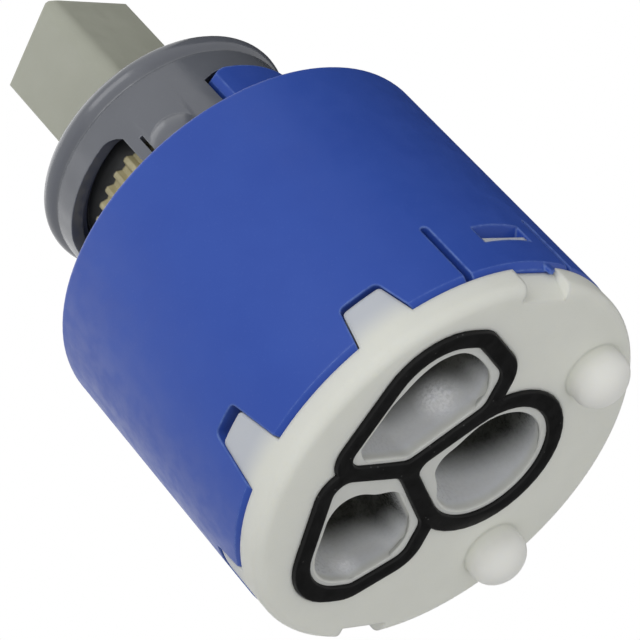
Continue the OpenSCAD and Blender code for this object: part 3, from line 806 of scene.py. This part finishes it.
@dataclass
class Housing:
    """The blue sleeve with its snap tongues and stop tab."""

    finish: MouldedPlastic = field(default_factory=lambda: MouldedPlastic(
        name="blue_acetal", colour=linear(52, 84, 174), flow_tint=linear(45, 75, 165),
        # The pale blue edge tint, laid on strongly, is painted highlight along the housing's edges and rims.
        edge_tint=linear(118, 146, 212), edge_share=0.8, edge_bend=(0.999, 0.9),
        edge_radius=0.3 * MM, speck_tint=linear(96, 124, 194), gloss=(0.34, 0.46), specular=0.2))

    def dress(self) -> int:
        """Dresses the housing and returns how many parts that was."""
        dress("housing", self.finish.make())
        return 1


@dataclass(frozen=True)
class Swelling:
    """A stretch of a port's rim where its lip is wider."""

    bearing: float
    spread: float
    width: float

    def at(self, angle: float) -> float:
        """Gives the extra width at an angle in degrees, fading out evenly to both sides."""
        away = abs((angle - self.bearing + 180) % 360 - 180) / self.spread
        return self.width * math.cos(away * math.pi / 2) ** 2 if away < 1 else 0.0


@dataclass
class PortLip:
    """The thin uneven lip that the mould left around one port, just proud of the sealing face."""

    name: str
    rounds: tuple[Point, ...]
    centre: tuple[float, float]
    swellings: tuple[Swelling, ...]
    land: float = 0.36 * MM
    root: float = 0.04 * MM
    rise: tuple[float, ...] = (-0.03 * MM, -0.03 * MM, 0.1 * MM, 0.42 * MM, 0.42 * MM)
    draw_back: float = 0.1 * MM
    waviness: float = 0.01 * MM
    wave_layers: int = 4
    wave_counts: tuple[int, int] = (5, 19)
    softening: int = 9
    facings: int = 180
    least_lean: float = 0.02
    steps: int = 180
    seed: int = 5

    def reach(self, angle: float) -> float:
        """Measures from the centre to the taut loop around the port's circles.

        Args:
            angle: The direction in radians.

        Returns:
            The distance in metres.
        """
        distances = []
        for k in range(self.facings):
            facing = math.tau * k / self.facings
            lean = math.cos(facing - angle)
            if lean > self.least_lean:
                edge = max((x - self.centre[0]) * math.cos(facing)
                           + (y - self.centre[1]) * math.sin(facing) + r for x, y, r in self.rounds)
                distances.append(edge / lean)
        return min(distances) * MM

    def inner_edge(self, rims: list[float]) -> list[float]:
        """Finds the lip's inner edge, which rounds off the corners of the rim.

        Args:
            rims: The distance of the rim at each step.

        Returns:
            The distance of the inner edge at each step, in metres.
        """
        chance = random.Random(self.seed)
        waves = [(chance.randint(*self.wave_counts), chance.uniform(0, math.tau))
                 for _ in range(self.wave_layers)]
        edges = []
        for k in range(self.steps):
            angle = math.tau * k / self.steps
            wave = sum(math.sin(count * angle + phase) for count, phase in waves)
            width = self.land + sum(s.at(math.degrees(angle)) for s in self.swellings)
            edges.append(rims[k] - width - self.waviness * wave * (width > self.land))
        soft = []
        for k in range(self.steps):
            near = [edges[(k + j) % self.steps] for j in range(-self.softening, self.softening + 1)]
            soft.append(min(sum(near) / len(near), rims[k] - self.land))
        return soft

    def mesh(self) -> bmesh.types.BMesh:
        """Builds the lip as a closed ring of five lines around the port.

        Returns:
            The mesh.
        """
        rims = [self.reach(math.tau * k / self.steps) for k in range(self.steps)]
        lines = []
        for k, (rim, inner) in enumerate(zip(rims, self.inner_edge(rims))):
            angle = math.tau * k / self.steps
            radii = (rim - self.root, inner + self.draw_back, inner, inner + self.draw_back,
                     rim - self.root)
            lines.append([(self.centre[0] * MM + r * math.cos(angle),
                           self.centre[1] * MM + r * math.sin(angle), z)
                          for r, z in zip(radii, self.rise)])
        return ring_mesh(lines)


def placed(rounds: tuple[Point, ...], side: int, aside: float = 0.5) -> tuple[Point, ...]:
    """Puts a port's circles at their place in the base, in millimetres.

    Args:
        rounds: The circles as x, y and radius.
        side: 1 for the right port or -1 for the left.
        aside: How far all ports sit toward the right.

    Returns:
        The circles there.
    """
    return tuple((side * x + aside, y, r) for x, y, r in rounds)


@dataclass
class Base:
    """The natural acetal base with its ports and pegs."""

    inlet: tuple[Point, ...] = ((1.9, -10.4, 1.15), (7.0, -5.9, 4.5), (9.95, -4.85, 1.55),
                                (7.95, -1.9, 1.6), (6.3, -1.65, 1.35), (2.2, -6.0, 1.4))
    outlet: tuple[Point, ...] = ((0.0, 3.85, 5.4), (0.0, -2.55, 1.05))

    finish: PortedAcetal = field(default_factory=lambda: PortedAcetal(
        name="natural_acetal", colour=linear(229, 230, 222), flow_tint=linear(221, 222, 214),
        edge_tint=linear(232, 233, 228), edge_share=0.2, speck_tint=linear(178, 176, 166),
        speck_share=0.04, gloss=(0.42, 0.55), specular=0.2, glow=0.35, glow_depth=1.8 * MM,
        edge_radius=0.4 * MM))
    lip_finish: MouldedPlastic = field(default_factory=lambda: MouldedPlastic(
        name="lip_acetal", colour=linear(212, 213, 208), flow_tint=linear(200, 202, 198),
        flow_size=2 * MM, edge_tint=linear(216, 217, 213), speck_share=0.02, gloss=(0.42, 0.55),
        specular=0.2, glow=0.3, glow_depth=1.2 * MM, edge_radius=0.1 * MM))

    def lips(self) -> list[PortLip]:
        """Lists the lips of the three ports."""
        return [
            PortLip("right_inlet_lip", placed(self.inlet, 1), (6.0, -6.0),
                    (Swelling(-46, 55, 0.65 * MM), Swelling(35, 70, 0.35 * MM))),
            PortLip("left_inlet_lip", placed(self.inlet, -1), (-5.5, -5.5),
                    (Swelling(-30, 62, 1.75 * MM), Swelling(80, 60, 0.35 * MM))),
            PortLip("outlet_lip", placed(self.outlet, 1), (0.5, 2.5),
                    (Swelling(-90, 75, 1.2 * MM), Swelling(30, 80, 0.35 * MM),
                     Swelling(-122, 7, 0.22 * MM))),
        ]

    def dress(self) -> int:
        """Dresses the base and adds its lips.

        Returns:
            How many parts that was.
        """
        dress("base", self.finish.make())
        thin = self.lip_finish.make()
        lips = self.lips()
        for lip in lips:
            new_piece(lip.name, lip.mesh(), thin, Body.FIXED)
        return 1 + len(lips)


@dataclass
class Seals:
    """The trefoil seal under the base and the two seals inside."""

    finish: SealRubber = field(default_factory=SealRubber)

    def dress(self) -> int:
        """Dresses the seals.

        Returns:
            How many parts that was.
        """
        material = self.finish.make()
        names = ("base_seal", "disc_seal", "chamber_seal")
        for name in names:
            dress(name, material)
        return len(names)


@dataclass
class CeramicDiscs:
    """The fixed and the moving disc, and the pierced plate in the mixing chamber."""

    fixed: LappedCeramic = field(default_factory=lambda: LappedCeramic(
        "fixed_ceramic", linear(236, 232, 222)))
    moving: LappedCeramic = field(default_factory=lambda: LappedCeramic(
        "moving_ceramic", linear(241, 238, 229)))
    plate: MouldedPlastic = field(default_factory=lambda: MouldedPlastic(
        name="insert_plastic", colour=linear(104, 140, 160), flow_tint=linear(94, 130, 150),
        edge_tint=linear(170, 195, 205)))

    def dress(self) -> int:
        """Dresses the discs and the plate.

        Returns:
            How many parts that was.
        """
        dress("fixed_disc", self.fixed.make())
        dress("moving_disc", self.moving.make())
        dress("sound_insert", self.plate.make())
        return 3


@dataclass
class SlidingCarrier:
    """The carrier that the lever's ball pushes across, with the moving disc on it."""

    finish: MouldedPlastic = field(default_factory=lambda: MouldedPlastic(
        name="carrier_acetal", colour=linear(205, 205, 198), flow_tint=linear(192, 192, 186),
        edge_tint=linear(228, 228, 222), glow=0.15))

    def dress(self) -> int:
        """Dresses the carrier and returns how many parts that was."""
        dress("disc_carrier", self.finish.make())
        return 1


@dataclass
class ShadeBead:
    """A guessed dark ring, a sheet of painted shade, that closes the gap between the neck's crown and the
    collar.
    """

    radius: float = 9.36 * MM
    thickness: float = 0.13 * MM
    height: float = 37.8 * MM
    steps: int = 144
    sides: int = 8
    # Its dark finish is painted shade in the collar's mouth.
    finish: MouldedPlastic = field(default_factory=lambda: MouldedPlastic(
        name="neck_shade_bead", colour=(0.035, 0.036, 0.036), flow_tint=(0.028, 0.029, 0.028),
        flow_size=1 * MM, edge_tint=(0.045, 0.046, 0.046), speck_share=0.0, gloss=(0.25, 0.4),
        specular=0.3, edge_radius=0.05 * MM))

    def mesh(self) -> bmesh.types.BMesh:
        """Builds the bead as a closed ring.

        Returns:
            The mesh.
        """
        lines = []
        for k in range(self.steps):
            angle = math.tau * k / self.steps
            line = []
            for j in range(self.sides):
                turn = math.tau * (j + 0.5) / self.sides
                reach = self.radius + self.thickness * math.cos(turn)
                line.append((reach * math.cos(angle), reach * math.sin(angle),
                             self.height + self.thickness * math.sin(turn)))
            lines.append(line)
        return ring_mesh(lines)

    def build(self) -> int:
        """Lays the bead in the collar's mouth and returns how many parts that was."""
        new_piece("neck_shade_bead", self.mesh(), self.finish.make(), Body.COLLAR)
        return 1


@dataclass
class TurningHead:
    """The cream rotor with its toothed neck, the ring that it turns on and the lever's pin."""

    cream: CrownedNylon = field(default_factory=lambda: CrownedNylon(
        name="cream_nylon", colour=linear(196, 187, 148), flow_tint=linear(158, 147, 106),
        flow_size=1.5 * MM, flow_share=0.6, edge_tint=linear(222, 215, 186), edge_share=0.35,
        gloss=(0.35, 0.5)))
    ring: MouldedPlastic = field(default_factory=lambda: MouldedPlastic(
        name="slide_ring_plastic", colour=linear(238, 238, 236), flow_tint=linear(228, 228, 226),
        edge_tint=linear(245, 245, 244), glow=0.3, gloss=(0.25, 0.35)))

    def dress(self, steel: bpy.types.Material) -> int:
        """Dresses the head.

        Args:
            steel: The steel of the pin.

        Returns:
            How many parts were dressed.
        """
        dress("rotor", self.cream.make())
        dress("slide_ring", self.ring.make())
        dress("lever_pin", steel)
        return 3


@dataclass
class StopCollar:
    """The grey ring on the neck that limits the turn."""

    finish: MouldedPlastic = field(default_factory=lambda: MouldedPlastic(
        name="grey_acetal", colour=linear(105, 108, 115), flow_tint=linear(96, 99, 106),
        edge_tint=linear(176, 180, 184), edge_share=0.4, edge_bend=(0.999, 0.85),
        speck_tint=linear(140, 143, 148), speck_share=0.03, gloss=(0.15, 0.26), specular=0.6))
    bead: ShadeBead = field(default_factory=ShadeBead)

    def dress(self) -> int:
        """Dresses the collar, adds the bead and returns how many parts that was."""
        dress("collar", self.finish.make())
        return 1 + self.bead.build()


@dataclass
class Lever:
    """The square lever of ivory-grey polymer."""

    finish: MouldedPlastic = field(default_factory=lambda: MouldedPlastic(
        name="lever_polymer", colour=linear(171, 173, 159), flow_tint=linear(158, 160, 146),
        flow_size=9 * MM, edge_tint=linear(200, 201, 190), edge_share=0.35, glow=0.12,
        glow_depth=1.5 * MM, gloss=(0.36, 0.5)))

    def dress(self) -> int:
        """Dresses the lever and returns how many parts that was."""
        dress("lever", self.finish.make())
        return 1


@dataclass
class Detent:
    """The ball and spring that press on the carrier."""

    def dress(self, steel: bpy.types.Material) -> int:
        """Dresses the ball and spring.

        Args:
            steel: Their steel.

        Returns:
            How many parts were dressed.
        """
        dress("detent_spring", steel)
        dress("detent_ball", steel)
        return 2


@dataclass
class View:
    """The photograph's camera, in the CAD frame."""

    place: Point = (109.19 * MM, -160.94 * MM, -112.87 * MM)
    right: Point = (0.4049, 0.7259, -0.5560)
    up: Point = (0.7873, 0.0325, 0.6158)
    ahead: Point = (-0.4651, 0.6870, 0.5583)
    lens: float = 167.757
    sensor: float = 36.0
    reach: Span = (0.01, 10.0)

    def build(self) -> bpy.types.Object:
        """Places the camera.

        Returns:
            The camera.
        """
        data = bpy.data.cameras.new("camera")
        data.lens = self.lens
        data.sensor_width = self.sensor
        data.clip_start, data.clip_end = self.reach
        camera = bpy.data.objects.new("camera", data)
        right, up, back = Vector(self.right), Vector(self.up), -Vector(self.ahead)
        turn = Matrix((right, up, back)).transposed().to_4x4()
        camera.matrix_world = Matrix.Translation(self.place) @ turn
        bpy.context.scene.collection.objects.link(camera)
        bpy.context.scene.camera = camera
        return camera

    def toward(self, right: float, up: float, back: float) -> Vector:
        """Gives the direction with these shares of the camera's axes."""
        mix = Vector(self.right) * right + Vector(self.up) * up - Vector(self.ahead) * back
        return mix.normalized()


def bearing(azimuth: float, rise: float) -> Vector:
    """Gives the direction at an azimuth from +X and a rise above the floor, in degrees."""
    around, above = math.radians(azimuth), math.radians(rise)
    return Vector((math.cos(above) * math.cos(around), math.cos(above) * math.sin(around),
                   math.sin(above)))


@dataclass
class Lamp:
    """A soft square lamp that faces the part."""

    name: str
    toward: Vector
    level: float
    size: float = 0.35
    distance: float = 0.5
    target: Point = (0.0, 0.0, 0.02)

    def build(self) -> bpy.types.Object:
        """Places the lamp, strong enough to light a facing surface to its level.

        Returns:
            The lamp.
        """
        data = bpy.data.lights.new(self.name, "AREA")
        data.shape = "SQUARE"
        data.size = self.size
        data.energy = self.level * math.pi ** 2 * self.distance ** 2
        lamp = bpy.data.objects.new(self.name, data)
        lamp.location = Vector(self.target) + self.toward * self.distance
        lamp.rotation_mode = "QUATERNION"
        lamp.rotation_quaternion = (-self.toward).to_track_quat("-Z", "Y")
        lamp.visible_camera = False
        bpy.context.scene.collection.objects.link(lamp)
        return lamp


@dataclass
class Flag:
    """A dark card beside the part that only reflections see, as a photographer sets one."""

    name: str
    toward: Vector
    width: float
    height: float
    distance: float = 0.5
    target: Point = (0.0, 0.0, 0.02)
    felt: tuple[Colour, Colour] = ((0.012, 0.012, 0.013), (0.02, 0.02, 0.02))
    felt_size: float = 20 * MM

    def build(self) -> bpy.types.Object:
        """Stands the card up, square to the part.

        Returns:
            The card.
        """
        mesh = bmesh.new()
        bmesh.ops.create_grid(mesh, x_segments=4, y_segments=4, size=0.5)
        bmesh.ops.scale(mesh, vec=(self.width, self.height, 1.0), verts=mesh.verts)
        data = bpy.data.meshes.new(self.name)
        mesh.to_mesh(data)
        mesh.free()
        sheet = ShaderSheet(self.name)
        felt = sheet.blend(sheet.noise(self.felt_size), *self.felt)
        data.materials.append(sheet.surface(Base_Color=felt, Roughness=1.0, Specular_IOR_Level=0.0))
        card = bpy.data.objects.new(self.name, data)
        card.location = Vector(self.target) + self.toward * self.distance
        card.rotation_mode = "QUATERNION"
        card.rotation_quaternion = (-self.toward).to_track_quat("Z", "Y")
        card.visible_camera = False
        card.visible_diffuse = False
        card.visible_transmission = False
        card.visible_shadow = False
        bpy.context.scene.collection.objects.link(card)
        card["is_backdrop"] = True
        return card


@dataclass
class Studio:
    """A pale floor under the pegs, soft lamps, dark flags and a white surround."""

    view: View
    floor_z: float
    floor_size: float = 4.8
    floor_tones: tuple[Colour, Colour] = ((0.80, 0.80, 0.79), (0.76, 0.76, 0.75))
    floor_patch: float = 60 * MM
    floor_share: float = 0.3
    ambient: float = 0.4

    def lamps(self) -> list[Lamp]:
        """Lists the lamps of the studio."""
        return [
            Lamp("key", self.view.toward(-0.45, 0.5, 0.8), 0.36),
            Lamp("front", self.view.toward(0.1, -0.1, 1.0), 0.14, size=0.5),
            Lamp("under", self.view.toward(0.55, -0.6, 0.6), 0.2, size=0.5),
            Lamp("top", Vector((-0.3, -0.2, 1.0)).normalized(), 0.3, size=0.5),
        ]

    def flags(self) -> list[Flag]:
        """Lists the dark cards of the studio."""
        return [
            Flag("far_flag", bearing(65, 34), 1.25, 0.5),
            Flag("low_flag", bearing(124, -34), 0.8, 0.5),
        ]

    def build_floor(self) -> bpy.types.Object:
        """Lays the floor, which shows from above and lets light and the camera through from below.

        Returns:
            The floor.
        """
        mesh = bmesh.new()
        bmesh.ops.create_grid(mesh, x_segments=8, y_segments=8, size=self.floor_size / 2)
        data = bpy.data.meshes.new("floor")
        mesh.to_mesh(data)
        mesh.free()
        floor = bpy.data.objects.new("floor", data)
        floor.location.z = self.floor_z
        bpy.context.scene.collection.objects.link(floor)
        sheet = ShaderSheet("floor_card")
        patches = sheet.span(sheet.noise(self.floor_patch), *NOISE_SPAN, 0.0, self.floor_share)
        tone = sheet.blend(patches, *self.floor_tones)
        matt = sheet.add("ShaderNodeBsdfDiffuse")
        sheet.feed(matt.inputs[0], tone)
        clear = sheet.add("ShaderNodeBsdfTransparent")
        side = sheet.add("ShaderNodeNewGeometry")
        mixed = sheet.add("ShaderNodeMixShader")
        sheet.feed(mixed.inputs[0], side.outputs["Backfacing"])
        sheet.feed(mixed.inputs[1], matt.outputs[0])
        sheet.feed(mixed.inputs[2], clear.outputs[0])
        output = sheet.add("ShaderNodeOutputMaterial")
        sheet.feed(output.inputs[0], mixed.outputs[0])
        data.materials.append(sheet.material)
        floor.visible_shadow = False
        floor.visible_diffuse = False
        floor.visible_glossy = False
        floor.visible_transmission = False
        floor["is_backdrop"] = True
        return floor

    def build_surround(self) -> bpy.types.World:
        """Makes the surround: even soft light, and white where it is seen.

        Returns:
            The world.
        """
        world = bpy.data.worlds.new("surround")
        bpy.context.scene.world = world
        world.use_nodes = True
        nodes, links = world.node_tree.nodes, world.node_tree.links
        nodes.clear()
        light = nodes.new("ShaderNodeBackground")
        light.inputs["Strength"].default_value = self.ambient
        light.inputs["Color"].default_value = (1.0, 1.0, 1.0, 1.0)
        white = nodes.new("ShaderNodeBackground")
        white.inputs["Color"].default_value = (1.0, 1.0, 1.0, 1.0)
        path = nodes.new("ShaderNodeLightPath")
        seen = path.outputs["Is Camera Ray"]
        for other in ("Is Glossy Ray", "Is Transmission Ray"):
            either = nodes.new("ShaderNodeMath")
            either.operation = "MAXIMUM"
            links.new(seen, either.inputs[0])
            links.new(path.outputs[other], either.inputs[1])
            seen = either.outputs[0]
        mixed = nodes.new("ShaderNodeMixShader")
        output = nodes.new("ShaderNodeOutputWorld")
        links.new(seen, mixed.inputs[0])
        links.new(light.outputs[0], mixed.inputs[1])
        links.new(white.outputs[0], mixed.inputs[2])
        links.new(mixed.outputs[0], output.inputs[0])
        return world

    def build(self) -> int:
        """Builds the studio.

        Returns:
            How many lamps it has.
        """
        self.build_floor()
        self.build_surround()
        lamps = self.lamps()
        for aid in (*lamps, *self.flags()):
            aid.build()
        return len(lamps)


def main() -> None:
    """Dresses the cartridge piece by piece and sets up the studio."""
    logging.basicConfig(level=logging.INFO, format="%(message)s")
    cad_low, cad_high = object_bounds()
    bpy.context.scene.view_settings.view_transform = "Standard"
    steel = GroundSteel().make()
    LOG.info("housing: %d part", Housing().dress())
    LOG.info("base: %d parts", Base().dress())
    LOG.info("seals: %d parts", Seals().dress())
    LOG.info("ceramic discs: %d parts", CeramicDiscs().dress())
    LOG.info("carrier: %d part", SlidingCarrier().dress())
    LOG.info("turning head: %d parts", TurningHead().dress(steel))
    LOG.info("stop collar: %d parts", StopCollar().dress())
    LOG.info("lever: %d part", Lever().dress())
    LOG.info("detent: %d parts", Detent().dress(steel))
    view = View()
    view.build()
    LOG.info("studio: %d lamps", Studio(view, cad_low.z).build())


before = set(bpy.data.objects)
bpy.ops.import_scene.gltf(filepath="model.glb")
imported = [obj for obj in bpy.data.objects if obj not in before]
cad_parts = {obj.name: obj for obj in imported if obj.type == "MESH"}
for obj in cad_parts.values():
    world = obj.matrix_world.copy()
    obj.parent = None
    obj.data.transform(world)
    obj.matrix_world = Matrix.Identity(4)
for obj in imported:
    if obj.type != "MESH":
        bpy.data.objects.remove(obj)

if __name__ == "__main__":
    main()
